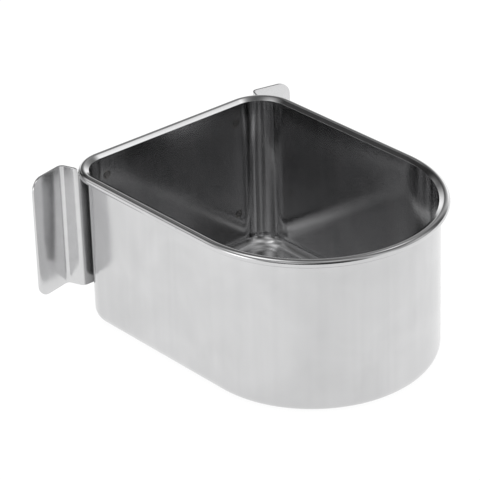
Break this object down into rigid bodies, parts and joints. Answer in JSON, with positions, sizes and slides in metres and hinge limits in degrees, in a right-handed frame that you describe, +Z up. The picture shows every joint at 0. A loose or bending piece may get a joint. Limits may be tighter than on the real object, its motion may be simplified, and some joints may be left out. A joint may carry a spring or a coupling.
{
  "type": "seed cup",
  "caption": "Deep D-shaped stainless steel seed cup with a rolled rim and a bent sheet clip at each back corner that hooks over the wires of a cage.",
  "frame": {"origin": "on the base's underside, in the plane of symmetry, half-way between the flat back and the front of the round end", "axes": "+X along the flat back, +Y towards the back and the clips, +Z up out of the mouth"},
  "size_m": [0.1236, 0.1335, 0.0622],
  "materials": {
    "cup_steel": "polished drawn stainless steel with faint upright draw lines",
    "clip_steel": "satin rolled stainless steel sheet",
    "weld_steel": "dull, slightly heat-tinted spot weld"
  },
  "bodies": {
    "root": {"cup_shell": "cup_steel", "clip_left": "clip_steel", "clip_right": "clip_steel", "spot_welds": "weld_steel"}
  },
  "joints": []
}
